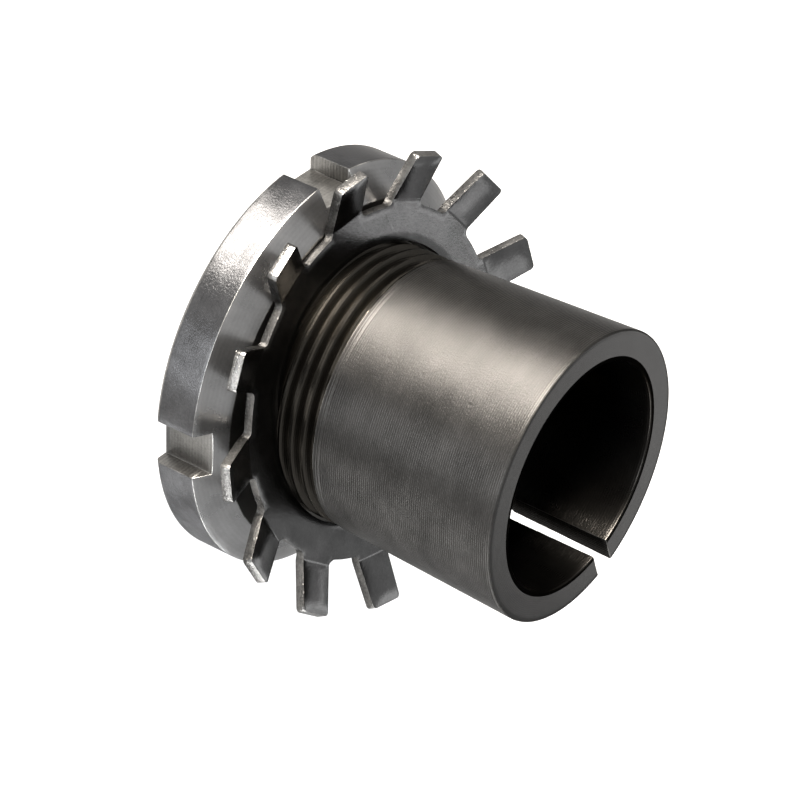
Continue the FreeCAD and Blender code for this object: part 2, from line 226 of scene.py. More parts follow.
def thread_group():
    """Lays marked rows along a helix and gives them the height of the tooth at their place."""
    lengths = ("Pitch", "Phase", "Foot Radius", "Tooth Height", "Tooth Side", "Crest Half", "Flank Width",
               "Crest Shift", "Bottom", "Top", "Bottom Height", "Top Height", "Land Foot", "Land Slope")
    tree, given, out = node_tree("screw thread", "GeometryNodeTree",
                                 [("Geometry", "Geometry")] + [(label, "Float") for label in lengths],
                                 [("Geometry", "Geometry")])
    where = tree.nodes.new("GeometryNodeInputPosition").outputs[0]
    own = place(tree, "ShaderNodeSeparateXYZ", Vector=where).outputs["Z"]
    turn, row, helical = named(tree, "turn"), named(tree, "row"), named(tree, "helical")
    climb = maths(tree, "MULTIPLY_ADD", maths(tree, "ADD", row, turn), given["Pitch"], given["Phase"])
    climb = maths(tree, "MINIMUM", maths(tree, "MAXIMUM", climb, given["Bottom"]), given["Top"])
    height = place(tree, "ShaderNodeMix", {"data_type": "FLOAT"}, i0=helical, i2=own, i3=climb).outputs[0]
    phase = maths(tree, "DIVIDE", maths(tree, "SUBTRACT", height, given["Phase"]), given["Pitch"])
    phase = maths(tree, "SUBTRACT", maths(tree, "SUBTRACT", phase, turn), given["Crest Shift"])
    away = maths(tree, "ABSOLUTE", maths(tree, "SUBTRACT", phase, maths(tree, "ROUND", phase)))
    down = maths(tree, "SUBTRACT", maths(tree, "MULTIPLY", away, given["Pitch"]), given["Crest Half"])
    down = maths(tree, "DIVIDE", down, given["Flank Width"], clamp=True)
    tooth = maths(tree, "MULTIPLY", maths(tree, "SUBTRACT", 1.0, down), given["Tooth Height"])
    low = maths(tree, "ADD", given["Bottom Height"], maths(tree, "SUBTRACT", height, given["Bottom"]))
    high = maths(tree, "ADD", given["Top Height"], maths(tree, "SUBTRACT", given["Top"], height))
    tooth = maths(tree, "MINIMUM", maths(tree, "MINIMUM", tooth, low), high)
    ramp = maths(tree, "DIVIDE", maths(tree, "SUBTRACT", height, given["Land Foot"]), given["Land Slope"])
    tooth = maths(tree, "MAXIMUM", tooth, ramp)
    radius = maths(tree, "MULTIPLY_ADD", tooth, given["Tooth Side"], given["Foot Radius"])
    angle = maths(tree, "MULTIPLY", turn, TURN)
    across = maths(tree, "MULTIPLY", radius, maths(tree, "COSINE", angle))
    aside = maths(tree, "MULTIPLY", radius, maths(tree, "SINE", angle))
    spot = place(tree, "ShaderNodeCombineXYZ", X=across, Y=aside, Z=height).outputs[0]
    chosen = place(tree, "FunctionNodeCompare", {"data_type": "FLOAT", "operation": "GREATER_THAN"},
                   i0=named(tree, "on_thread"), i1=0.5).outputs[0]
    moved = place(tree, "GeometryNodeSetPosition", Geometry=given["Geometry"], Selection=chosen,
                  Position=spot)
    tree.links.new(moved.outputs[0], out["Geometry"])
    return tree


def finish_group():
    """Joins doubles and gives each kind of face its own finish of the steel."""
    labels = ("Turned", "Thread", "Faced", "Bored", "Cut", "Edge")
    doubles_within = 2e-6
    tree, given, out = node_tree("steel finishes", "GeometryNodeTree",
                                 [("Geometry", "Geometry")] + [(label, "Material") for label in labels],
                                 [("Geometry", "Geometry")])
    shape = place(tree, "GeometryNodeMergeByDistance", Geometry=given["Geometry"],
                  Distance=doubles_within).outputs[0]
    for number, label in enumerate(labels):
        chosen = place(tree, "FunctionNodeCompare", {"data_type": "INT", "operation": "EQUAL"},
                       i2=named(tree, "kind", "INT"), i3=number).outputs[0]
        shape = place(tree, "GeometryNodeSetMaterial", Geometry=shape, Selection=chosen,
                      Material=given[label]).outputs[0]
    tree.links.new(shape, out["Geometry"])
    return tree


def grown(piece, tree, values):
    """Runs a Geometry Nodes tree on a piece and keeps the result as its plain mesh."""
    modifier = piece.modifiers.new("form", "NODES")
    modifier.node_group = tree
    for item in tree.interface.items_tree:
        if item.item_type == "SOCKET" and item.in_out == "INPUT" and item.name in values:
            modifier[item.identifier] = values[item.name]
    return settled(piece)


def settled(piece):
    """Keeps a piece as its modifiers show it, and takes them off."""
    bpy.context.view_layer.update()
    shown = piece.evaluated_get(bpy.context.evaluated_depsgraph_get())
    mesh = bpy.data.meshes.new_from_object(shown)
    piece.modifiers.clear()
    worn = [face.material_index for face in mesh.polygons]
    used = sorted(set(worn))
    finishes = [mesh.materials[number] for number in used]
    mesh.materials.clear()
    for finish in finishes:
        mesh.materials.append(finish)
    mesh.polygons.foreach_set("material_index", [used.index(number) for number in worn])
    piece.data = mesh
    return piece


def finish_number(piece, finish):
    """The slot of a finish on a piece, which gets one if it has none."""
    names = [slot.name for slot in piece.data.materials]
    if finish.name not in names:
        piece.data.materials.append(finish)
        names.append(finish.name)
    return names.index(finish.name)


def turning_marks_group():
    """Grooves left by a turning tool: they follow the circle, one beside the other along Feed."""
    tree, given, out = node_tree("turning marks", "ShaderNodeTree",
                                 [("Feed", "Float", 0.0), ("Grooves Per Metre", "Float", 5000.0),
                                  ("Waver", "Float", 4.0), ("Unevenness", "Float", 0.4)],
                                 [("Height", "Float"), ("Tone", "Float")])
    # One fine line and a fifth of a broad band for each groove.
    lines_per_groove, bands_per_groove = 1.1, 0.22
    spot = place(tree, "ShaderNodeTexCoord").outputs["Object"]
    parts = place(tree, "ShaderNodeSeparateXYZ", Vector=spot)
    flat = place(tree, "ShaderNodeCombineXYZ", X=parts.outputs["X"], Y=parts.outputs["Y"]).outputs[0]
    ray = place(tree, "ShaderNodeVectorMath", {"operation": "NORMALIZE"}, i0=flat).outputs[0]
    wavered = place(tree, "ShaderNodeVectorMath", {"operation": "SCALE"}, i0=ray, Scale=given["Waver"])
    around = place(tree, "ShaderNodeSeparateXYZ", Vector=wavered.outputs[0])
    feed = maths(tree, "MULTIPLY", given["Feed"], given["Grooves Per Metre"])

    def noise_along(stretch):
        """Noise that follows the circle and changes with the feed."""
        where = place(tree, "ShaderNodeCombineXYZ", X=around.outputs["X"], Y=around.outputs["Y"],
                      Z=maths(tree, "MULTIPLY", feed, stretch)).outputs[0]
        return place(tree, "ShaderNodeTexNoise", Vector=where, Scale=1.0, Detail=2.0).outputs["Fac"]

    # The height is mostly the ridges between the grooves, and the tone half the fine lines.
    lines, bands = noise_along(lines_per_groove), noise_along(bands_per_groove)
    shift = maths(tree, "MULTIPLY", maths(tree, "SUBTRACT", bands, 0.5), given["Unevenness"])
    ridge = maths(tree, "MULTIPLY", maths(tree, "PINGPONG", maths(tree, "ADD", feed, shift), 0.5), 2.0)
    height = maths(tree, "MULTIPLY", ridge, maths(tree, "ADD", 0.6, maths(tree, "MULTIPLY", bands, 0.8)))
    tone = maths(tree, "ADD", maths(tree, "MULTIPLY", lines, 0.5), maths(tree, "MULTIPLY", bands, 0.25))
    tone = maths(tree, "ADD", tone, maths(tree, "MULTIPLY", ridge, 0.25))
    tree.links.new(maths(tree, "ADD", height, maths(tree, "MULTIPLY", lines, 0.35)), out["Height"])
    tree.links.new(tone, out["Tone"])
    return tree


def scuffs_group():
    """Small pits and short scratches of a handled steel surface, with its soft mottle and fine grain."""
    labels = ("Pits", "Scratches", "Mottle", "Grain")
    tree, given, out = node_tree("scuffs", "ShaderNodeTree",
                                 [("Pits Per Metre", "Float", 1500.0), ("Pit Share", "Float", 0.2)],
                                 [(label, "Float") for label in labels])
    pit_steepness = 3.2
    scratch_threshold, scratch_steepness = 0.68, 7.0
    mottle_per_metre, grain_per_metre = 260.0, 4200.0
    spot = place(tree, "ShaderNodeTexCoord").outputs["Object"]
    cells = place(tree, "ShaderNodeTexVoronoi", Vector=spot, Scale=given["Pits Per Metre"], Randomness=1.0)
    chance = place(tree, "ShaderNodeSeparateColor", Color=cells.outputs["Color"]).outputs["Red"]
    near = maths(tree, "SUBTRACT", 1.0, maths(tree, "MULTIPLY", cells.outputs["Distance"], pit_steepness),
                 clamp=True)
    pits = maths(tree, "MULTIPLY", near, maths(tree, "LESS_THAN", chance, given["Pit Share"]))

    def strokes(lean, per_metre):
        """Long thin strokes that lean one way."""
        leaned = place(tree, "ShaderNodeMapping", Vector=spot, Rotation=lean, Scale=per_metre).outputs[0]
        return place(tree, "ShaderNodeTexNoise", Vector=leaned, Scale=1.0, Detail=1.0).outputs["Fac"]

    deepest = maths(tree, "MAXIMUM", strokes((0.5, 0.9, 0.4), (2600.0, 160.0, 2600.0)),
                    strokes((0.2, -0.7, 1.3), (150.0, 2400.0, 2400.0)))
    above = maths(tree, "SUBTRACT", deepest, scratch_threshold)
    scratches = maths(tree, "MULTIPLY", above, scratch_steepness, clamp=True)
    mottle = place(tree, "ShaderNodeTexNoise", Vector=spot, Scale=mottle_per_metre, Detail=4.0, Roughness=0.6)
    grain = place(tree, "ShaderNodeTexNoise", Vector=spot, Scale=grain_per_metre, Detail=2.0, Roughness=0.7)
    for label, value in zip(labels, (pits, scratches, mottle.outputs["Fac"], grain.outputs["Fac"])):
        tree.links.new(value, out[label])
    return tree


turning_marks = turning_marks_group()
scuffs = scuffs_group()


def steel(name, colour, roughness, feed="Z", grooves=5000.0, waver=4.0, groove=0.0, grain=0.15, pit=0.0,
          pit_share=0.15, pits_per_metre=1500.0, scratch=0.0, mottle=0.25, fine=0.10, fine_depth=0.002,
          torn=0.0, stretch=0.0, rim_tint=0.5):
    """Dark steel with its turning marks, scuffs and grain.

    Groove, pit, scratch, fine_depth and torn are depths in millimetres. Grain, mottle and fine say how far
    the turning marks, the mottle and the fine grain change the tone. Torn steel lies beside the slit in the
    bore. Stretch draws the highlight out, and rim_tint is how light the steel gets at a grazing view.
    """
    material = bpy.data.materials.new(name)
    material.use_nodes = True
    tree = material.node_tree
    tree.nodes.clear()
    spot = place(tree, "ShaderNodeTexCoord").outputs["Object"]
    parts = place(tree, "ShaderNodeSeparateXYZ", Vector=spot)
    if feed == "radius":
        flat = place(tree, "ShaderNodeCombineXYZ", X=parts.outputs["X"], Y=parts.outputs["Y"]).outputs[0]
        along = place(tree, "ShaderNodeVectorMath", {"operation": "LENGTH"}, i0=flat).outputs["Value"]
    else:
        along = parts.outputs[feed]
    marks = place(tree, "ShaderNodeGroup", {"node_tree": turning_marks}, Feed=along,
                  Grooves_Per_Metre=grooves, Waver=waver)
    worn = place(tree, "ShaderNodeGroup", {"node_tree": scuffs}, Pits_Per_Metre=pits_per_metre,
                 Pit_Share=pit_share)
    shade = maths(tree, "MULTIPLY", maths(tree, "SUBTRACT", marks.outputs["Tone"], 0.5), 2 * grain)
    blotch = maths(tree, "MULTIPLY", maths(tree, "SUBTRACT", worn.outputs["Mottle"], 0.5), 2 * mottle)
    shade = maths(tree, "ADD", maths(tree, "ADD", shade, blotch), 1.0)
    speck = maths(tree, "SUBTRACT", worn.outputs["Grain"], 0.5)
    shade = maths(tree, "ADD", shade, maths(tree, "MULTIPLY", speck, 2 * fine))
    scratch_tone = min(scratch * 60, 0.6)
    shade = maths(tree, "ADD", shade, maths(tree, "MULTIPLY", worn.outputs["Scratches"], scratch_tone))
    rough = maths(tree, "SUBTRACT", worn.outputs["Mottle"], 0.5)
    rough = maths(tree, "MULTIPLY_ADD", rough, 0.25 * mottle, roughness)
    relief = maths(tree, "MULTIPLY", marks.outputs["Height"], groove)
    relief = maths(tree, "SUBTRACT", relief, maths(tree, "MULTIPLY", worn.outputs["Pits"], pit))
    relief = maths(tree, "SUBTRACT", relief, maths(tree, "MULTIPLY", worn.outputs["Scratches"], scratch))
    relief = maths(tree, "ADD", relief, maths(tree, "MULTIPLY", speck, 4 * fine_depth))
    if torn:
        # The saw tore the bore in a strip on each side of the slit, in ragged hairs across the length.
        torn_reach, torn_fade, torn_tone = 4.6 * MM, 450.0, 5.0
        hair_lean, hairs_per_metre = (0.35, 0, 0), (1500.0, 1300.0, 6500.0)
        aside = maths(tree, "ABSOLUTE", parts.outputs["Y"])
        by_slit = maths(tree, "MULTIPLY", maths(tree, "SUBTRACT", torn_reach, aside), torn_fade, clamp=True)
        by_slit = maths(tree, "MULTIPLY", by_slit, maths(tree, "GREATER_THAN", parts.outputs["X"], 0.0))
        hairs = place(tree, "ShaderNodeMapping", Vector=spot, Rotation=hair_lean, Scale=hairs_per_metre)
        ragged = place(tree, "ShaderNodeTexNoise", Vector=hairs.outputs[0], Scale=1.0, Detail=3.0,
                       Roughness=0.7)
        ragged = maths(tree, "MULTIPLY", ragged.outputs["Fac"], by_slit)
        relief = maths(tree, "ADD", relief, maths(tree, "MULTIPLY", ragged, torn))
        bright = maths(tree, "MULTIPLY", maths(tree, "POWER", ragged, 3.0), torn_tone)
        shade = maths(tree, "ADD", shade, bright)
    tint = place(tree, "ShaderNodeVectorMath", {"operation": "SCALE"}, i0=(*colour,), Scale=shade).outputs[0]
    bump = place(tree, "ShaderNodeBump", Strength=1.0, Distance=MM, Height=relief).outputs[0]
    metal = place(tree, "ShaderNodeBsdfPrincipled", Base_Color=tint, Metallic=1.0, Roughness=rough,
                  Normal=bump)
    metal.inputs["Specular Tint"].default_value = (rim_tint, rim_tint, rim_tint, 1)
    if stretch:
        metal.inputs["Anisotropic"].default_value = stretch
        metal.inputs["Anisotropic Rotation"].default_value = 0.25
        tangent = place(tree, "ShaderNodeTangent", {"direction_type": "RADIAL", "axis": "Z"})
        tree.links.new(tangent.outputs[0], metal.inputs["Tangent"])
    out = tree.nodes.new("ShaderNodeOutputMaterial")
    tree.links.new(metal.outputs[0], out.inputs["Surface"])
    return material


sleeve_steels = {
    "Turned": steel("sleeve_turned", (0.026, 0.0253, 0.0243), 0.44, grooves=3900.0, groove=0.026, grain=0.30,
                    pit=0.02, pit_share=0.015, pits_per_metre=900.0, scratch=0.001, mottle=0.50, fine=0.42,
                    fine_depth=0.0075, stretch=0.7),
    "Thread": steel("sleeve_thread", (0.030, 0.0275, 0.0238), 0.24, grooves=9000.0, groove=0.004, fine=0.3,
                    fine_depth=0.003, stretch=0.4),
    "Faced": steel("sleeve_faced", (0.040, 0.0392, 0.0384), 0.24, feed="radius", grooves=5000.0, groove=0.002,
                   grain=0.08, mottle=0.15, fine=0.05, fine_depth=0.0005),
    # The bore is near black, much darker than the turned outside: painted shade inside the bore.
    "Bored": steel("sleeve_bored", (0.011, 0.0104, 0.0096), 0.28, grooves=3600.0, groove=0.004, torn=0.025,
                   rim_tint=0.2),
    # The sawn walls of the slit are near black: painted shade inside the narrow slit.
    "Cut": steel("sleeve_sawn", (0.018, 0.0174, 0.0165), 0.50, feed="X", grooves=2600.0, waver=0.0,
                 groove=0.03, grain=0.5, pit=0.02, rim_tint=0.1),
    "Edge": steel("sleeve_edge", (0.07, 0.068, 0.064), 0.40, groove=0.004, grain=0.5, mottle=0.9),
}

screw_thread = thread_group()
steel_finishes = finish_group()


def inputs_of(tree, kind):
    """Name and kind of each input of a tree but its geometry."""
    return [(item.name, kind) for item in tree.interface.items_tree
            if item.item_type == "SOCKET" and item.in_out == "INPUT" and item.name != "Geometry"]


def threaded_tree(name):
    """Thread and finishes in one tree, with the sizes of the thread as its inputs."""
    sizes = inputs_of(screw_thread, "Float")
    labels = inputs_of(steel_finishes, "Material")
    tree, given, out = node_tree(name, "GeometryNodeTree", [("Geometry", "Geometry")] + sizes + labels,
                                 [("Geometry", "Geometry")])
    thread = place(tree, "GeometryNodeGroup", {"node_tree": screw_thread})
    finish = place(tree, "GeometryNodeGroup", {"node_tree": steel_finishes})
    for label, _ in sizes:
        tree.links.new(given[label], thread.inputs[label])
    for label, _ in labels:
        tree.links.new(given[label], finish.inputs[label])
    return tree, given, out, thread, finish


sleeve_tree, given, out, thread, finish = threaded_tree("threaded sleeve")
sleeve_tree.links.new(given["Geometry"], thread.inputs["Geometry"])
sleeve_tree.links.new(thread.outputs[0], finish.inputs["Geometry"])
sleeve_tree.links.new(finish.outputs[0], out["Geometry"])

sleeve = grown(sleeve_blank(), sleeve_tree, {
    "Pitch": thread_pitch * MM, "Phase": thread_phase * MM, "Foot Radius": sleeve_root * MM,
    "Tooth Height": (land_radius - sleeve_root) * MM, "Tooth Side": 1.0, "Crest Half": 0.13 * MM,
    "Flank Width": 0.49 * MM, "Crest Shift": 0.0, "Bottom": sleeve_end * MM, "Top": thread_top * MM,
    "Bottom Height": -0.4 * MM, "Top Height": 1.0, "Land Foot": 13.96 * MM, "Land Slope": 0.577,
    **sleeve_steels,
})


def closed(piece, finish):
    """Fills the open walls of the slit and turns every face outwards."""
    number = finish_number(piece, finish)
    bm = bmesh.new()
    bm.from_mesh(piece.data)
    open_edges = [e for e in bm.edges if e.is_boundary]
    for side in (-1, 1):
        loop = [e for e in open_edges if all(v.co.y * side > 0 for v in e.verts)]
        made = bmesh.ops.triangle_fill(bm, edges=loop, use_beauty=True, normal=(0, side, 0))
        for face in made["geom"]:
            if isinstance(face, bmesh.types.BMFace):
                face.material_index = number
    bmesh.ops.recalc_face_normals(bm, faces=bm.faces)
    bm.to_mesh(piece.data)
    bm.free()


closed(sleeve, sleeve_steels["Cut"])


def keyway_cutter():
    """The room that the disc cutter sweeps: straight along the keyway, then its own arc out."""
    floor, half_width, disc_radius = 11.35, 3.2054, 12.0
    arc_start, arc_steps, arc_turn = 15.98, 24, 60
    clear_outside, clear_below = 18.0, 1.0
    side = [(clear_outside, clear_below), (floor, clear_below)]
    for step in range(arc_steps + 1):
        angle = math.radians(arc_turn * step / arc_steps)
        side.append((floor + disc_radius * (1 - math.cos(angle)), arc_start + disc_radius * math.sin(angle)))
    side.append((clear_outside, side[-1][1]))
    bm = bmesh.new()
    walls = [[bm.verts.new((x, y, z)) for x, z in side] for y in (-half_width, half_width)]
    bm.faces.new(walls[0])
    bm.faces.new(walls[1])
    for number in range(len(side)):
        after = (number + 1) % len(side)
        bm.faces.new((walls[0][number], walls[0][after], walls[1][after], walls[1][number]))
    bmesh.ops.recalc_face_normals(bm, faces=bm.faces)
    cutter = new_piece("keyway_cutter", bm)
    cutter.data.materials.append(steel("sleeve_milled", (0.060, 0.058, 0.054), 0.36, feed="X", grooves=2400.0,
                                       waver=0.0, groove=0.008, grain=0.3, mottle=0.4, rim_tint=0.3))
    return cutter


def milled_out(piece, cutter):
    """Takes the cutter's room out of the piece."""
    cut = piece.modifiers.new("keyway", "BOOLEAN")
    cut.operation = "DIFFERENCE"
    cut.solver = "MANIFOLD"
    cut.material_mode = "TRANSFER"
    cut.object = cutter
    settled(piece)
    bpy.data.objects.remove(cutter)


def shaded(piece, angle):
    """Smooth shading, broken at real edges."""
    piece.data.shade_smooth()
    piece.data.set_sharp_from_angle(angle=math.radians(angle))


milled_out(sleeve, keyway_cutter())
shaded(sleeve, 32)
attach(sleeve, "sleeve")
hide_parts("sleeve")


# The lock washer: stamped from 1 mm steel sheet, so its edges are sheared. Thirteen outer tabs are bent
# towards the large end, and the inner tab rides in the keyway. It sits loose, leaning on the nut's face.
washer_half = 0.5
washer_hole = 15.2
washer_root = 19.0
bend_start = 19.3
bend_middle = 1.5
bend_angle = math.radians(22.5)
tab_length = 5.2
tab_end = bend_start + bend_middle * bend_angle + tab_length
tab_count = 13
inner_tab_half = 2.5
inner_tab_end = 12.897
washer_height = 10.566
washer_lean = math.radians(9)
washer_turn = math.radians(-2.5)


def sector_outline(keyed):
    """Flat outline of one thirteenth of the washer, its tab along +X, counterclockwise."""
    half_sector = math.pi / tab_count
    root_half, tip_half, fillet, corner = 2.3, 2.1, 0.8, 0.5
    lean = math.atan((root_half - tip_half) / (tab_end - washer_root))
    # The tab's side leans in to its tip, and the fillet touches that side and the root circle.
    normal = Vector((math.sin(lean), math.cos(lean)))
    on_line = Vector((washer_root, root_half))
    far = washer_root + fillet
    offset = on_line.dot(normal) + fillet
    middle = math.acos(offset / far)
    heading = math.atan2(normal.y, normal.x)
    centre = Vector((far * math.cos(heading - middle), far * math.sin(heading - middle)))
    foot = centre - normal * fillet
    root_angle = math.atan2(centre.y, centre.x)
    corner_centre = Vector((tab_end - corner, 0))
    corner_centre.y = (on_line.dot(normal) - corner - corner_centre.x * normal.x) / normal.y
    # From the middle of the tip: rounded corner, side, fillet, and the root circle up to the next sector.
    upper = []
    steps = 6
    for step in range(steps + 1):
        angle = heading * step / steps
        upper.append(corner_centre + corner * Vector((math.cos(angle), math.sin(angle))))
    for step in range(1, 10):
        upper.append(upper[steps].lerp(foot, step / 10))
    turn_start = math.atan2(foot.y - centre.y, foot.x - centre.x) % TURN
    turn_end = (root_angle - math.pi) % TURN
    for step in range(steps + 1):
        angle = turn_start + (turn_end - turn_start) * step / steps
        upper.append(centre + fillet * Vector((math.cos(angle), math.sin(angle))))
    for step in range(1, steps + 1):
        angle = root_angle + (half_sector - root_angle) * step / steps
        upper.append(washer_root * Vector((math.cos(angle), math.sin(angle))))
    inner = []
    if keyed:
        at_hole = math.asin(inner_tab_half / washer_hole)
        for step in range(5):
            angle = half_sector + (at_hole - half_sector) * step / 4
            inner.append(washer_hole * Vector((math.cos(angle), math.sin(angle))))
        inner.append(Vector((inner_tab_end + 0.25, inner_tab_half)))
        inner.append(Vector((inner_tab_end + 0.07, inner_tab_half - 0.07)))
        inner.append(Vector((inner_tab_end, inner_tab_half - 0.25)))
        inner.append(Vector((inner_tab_end, 0)))
    else:
        for step in range(11):
            angle = half_sector * (1 - step / 10)
            inner.append(washer_hole * Vector((math.cos(angle), math.sin(angle))))
    half = upper + [upper[-1].lerp(inner[0], step / 4) for step in range(1, 4)] + inner
    mirrored = [Vector((point.x, -point.y)) for point in reversed(half) if abs(point.y) > 1e-6]
    return half + mirrored


def washer_blank():
    """A plain sector and the keyed one, both flat, told apart by the faces' keyed mark."""
    bm = bmesh.new()
    kind_of = bm.faces.layers.int.new("kind")
    keyed_of = bm.faces.layers.int.new("keyed")
    half_sector = math.pi / tab_count
    bend_steps, bend_parts, bend_half = 8, 6, 2.28
    for keyed in (0, 1):
        points = sector_outline(keyed)
        count = len(points)
        edges = [(number, (number + 1) % count) for number in range(count)]
        # Lines across the tab, along which it bends.
        for step in range(bend_steps + 1):
            reach = bend_start + bend_middle * bend_angle * step / bend_steps
            first = len(points)
            across = [bend_half * (2 * part / bend_parts - 1) for part in range(bend_parts + 1)]
            points.extend(Vector((reach, aside)) for aside in across)
            edges.extend((first + part, first + part + 1) for part in range(bend_parts))
        # Points on the ring, so that it is cut into even triangles.
        for radius in (16.2, 17.2, 18.2):
            for part in range(-4, 5):
                angle = half_sector * part / 4.6
                points.append(radius * Vector((math.cos(angle), math.sin(angle))))
        spots, _, triangles = delaunay_2d_cdt(points, edges, [list(range(count))], 1, 1e-5)[:3]
        levels = []
        for level in (-washer_half, washer_half):
            levels.append([bm.verts.new((p.x, p.y, level)) for p in spots])
        for triangle in triangles:
            for level, order in ((0, reversed(triangle)), (1, triangle)):
                face = bm.faces.new([levels[level][number] for number in order])
                face[kind_of], face[keyed_of] = STEEL_FACED, keyed
        # Walls round the rim and the hole, but not where one sector meets the next.
        rim = [e for e in bm.edges if e.is_boundary and e.verts[0].co.z < 0 and not e.verts[0].tag]
        below = {id(vert): number for number, vert in enumerate(levels[0])}
        for edge in rim:
            a, b = edge.verts
            if id(a) not in below or id(b) not in below:
                continue
            a_turn, b_turn = (abs(math.atan2(v.co.y, v.co.x)) for v in (a, b))
            if a_turn > half_sector - 1e-5 and b_turn > half_sector - 1e-5:
                continue
            upper_a, upper_b = levels[1][below[id(a)]], levels[1][below[id(b)]]
            face = bm.faces.new((a, b, upper_b, upper_a))
            face[kind_of], face[keyed_of] = STEEL_EDGE, keyed
        for vert in levels[0]:
            vert.tag = True
    return new_piece("lock_washer_plate", bm)


def turned_round(tree, count, start=0.0):
    """A point for each copy round the axis, the copy's number and its turn."""
    points = place(tree, "GeometryNodeMeshLine", Count=count, Offset=(0.0, 0.0, 0.0)).outputs[0]
    number = tree.nodes.new("GeometryNodeInputIndex").outputs[0]
    turn = maths(tree, "MULTIPLY_ADD", number, maths(tree, "DIVIDE", TURN, count), start)
    return points, number, place(tree, "ShaderNodeCombineXYZ", Z=turn).outputs[0]


def washer_tree():
    """Bends the tab of each flat sector, repeats it round the axis and leans the whole washer."""
    sizes = [("Bend Start", "Float"), ("Bend Radius", "Float"), ("Bend Angle", "Float"), ("Tabs", "Int"),
             ("Place", "Vector"), ("Lean", "Vector")]
    labels = inputs_of(steel_finishes, "Material")
    tree, given, out = node_tree("tab washer", "GeometryNodeTree",
                                 [("Geometry", "Geometry")] + sizes + labels, [("Geometry", "Geometry")])
    position = tree.nodes.new("GeometryNodeInputPosition").outputs[0]
    where = place(tree, "ShaderNodeSeparateXYZ", Vector=position)
    beyond = maths(tree, "SUBTRACT", where.outputs["X"], given["Bend Start"])
    angle = maths(tree, "DIVIDE", beyond, given["Bend Radius"])
    angle = maths(tree, "MINIMUM", maths(tree, "MAXIMUM", angle, 0.0), given["Bend Angle"])
    left = maths(tree, "SUBTRACT", beyond, maths(tree, "MULTIPLY", angle, given["Bend Radius"]))
    arm = maths(tree, "SUBTRACT", given["Bend Radius"], where.outputs["Z"])
    sine, cosine = maths(tree, "SINE", angle), maths(tree, "COSINE", angle)
    new_x = maths(tree, "ADD", maths(tree, "MULTIPLY", arm, sine), maths(tree, "MULTIPLY", left, cosine))
    new_x = maths(tree, "ADD", new_x, given["Bend Start"])
    new_z = maths(tree, "SUBTRACT", given["Bend Radius"], maths(tree, "MULTIPLY", arm, cosine))
    new_z = maths(tree, "ADD", new_z, maths(tree, "MULTIPLY", left, sine))
    spot = place(tree, "ShaderNodeCombineXYZ", X=new_x, Y=where.outputs["Y"], Z=new_z).outputs[0]
    bent = place(tree, "GeometryNodeSetPosition", Geometry=given["Geometry"], Position=spot).outputs[0]
    keyed = place(tree, "FunctionNodeCompare", {"data_type": "INT", "operation": "EQUAL"},
                  i2=named(tree, "keyed", "INT"), i3=1).outputs[0]
    parts = place(tree, "GeometryNodeSeparateGeometry", {"domain": "FACE"}, Geometry=bent, Selection=keyed)
    points, number, around = turned_round(tree, given["Tabs"])
    both = tree.nodes.new("GeometryNodeJoinGeometry")
    for operation, side in (("EQUAL", "Selection"), ("GREATER_THAN", "Inverted")):
        chosen = place(tree, "FunctionNodeCompare", {"data_type": "INT", "operation": operation}, i2=number,
                       i3=0)
        ring = place(tree, "GeometryNodeInstanceOnPoints", Points=points, Selection=chosen.outputs[0],
                     Instance=parts.outputs[side], Rotation=around)
        tree.links.new(ring.outputs[0], both.inputs[0])
    solid = place(tree, "GeometryNodeRealizeInstances", Geometry=both.outputs[0]).outputs[0]
    put = place(tree, "GeometryNodeTransform", Geometry=solid, Translation=given["Place"],
                Rotation=given["Lean"])
    finish = place(tree, "GeometryNodeGroup", {"node_tree": steel_finishes}, Geometry=put.outputs[0])
    for label, _ in labels:
        tree.links.new(given[label], finish.inputs[label])
    tree.links.new(finish.outputs[0], out["Geometry"])
    return tree


washer_face = steel("washer_face", (0.072, 0.072, 0.072), 0.19, grain=0.0, pit=0.006, pit_share=0.3,
                    pits_per_metre=1500.0, scratch=0.002, mottle=0.45, fine=0.3, fine_depth=0.003)
washer_sheared = steel("washer_sheared", (0.070, 0.069, 0.067), 0.30, grain=0.0, pit=0.03, pit_share=0.6,
                       pits_per_metre=3600.0, scratch=0.01, mottle=1.0, fine=0.9, fine_depth=0.012)
washer = grown(washer_blank(), washer_tree(), {
    "Bend Start": bend_start * MM, "Bend Radius": bend_middle * MM, "Bend Angle": bend_angle,
    "Tabs": tab_count, "Place": (0, 0, washer_height * MM), "Lean": (0, -washer_lean, washer_turn),
    "Turned": washer_face, "Thread": washer_face, "Faced": washer_face, "Bored": washer_face,
    "Cut": washer_sheared, "Edge": washer_sheared,
})


def bevelled(piece, width, finish, limit, clamped, angle=0):
    """Breaks the edges sharper than an angle, or the weighted ones, and gives the strips the finish."""
    number = finish_number(piece, finish)
    bevel = piece.modifiers.new("broken edges", "BEVEL")
    bevel.width = width * MM
    bevel.segments = 2
    bevel.limit_method = limit
    bevel.angle_limit = math.radians(angle)
    bevel.use_clamp_overlap = clamped
    bevel.material = number
    settled(piece)


def outward(piece):
    """Turns every face of a closed piece outwards."""
    bm = bmesh.new()
    bm.from_mesh(piece.data)
    bmesh.ops.recalc_face_normals(bm, faces=bm.faces)
    bm.to_mesh(piece.data)
    bm.free()


outward(washer)
bevelled(washer, 0.09, washer_sheared, "ANGLE", clamped=True, angle=50)
shaded(washer, 30)
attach(washer, "washer")
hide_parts("lock_washer")


# The lock nut: a round steel nut turned from bar, with a wide cone down to its narrow face. Four spanner
# slots are milled across its outside, and its thread runs on the sleeve.
nut_radius = 22.5
nut_width = 7.0
nut_face = 19.0
nut_hole_edge = 15.2
nut_cone_start = 4.98
nut_rim_start = 0.5
slot_count = 4
slot_half = 2.5
slot_floor = 20.5
nut_rest = math.radians(-21.6)
land_columns = 25
slot_columns = 14


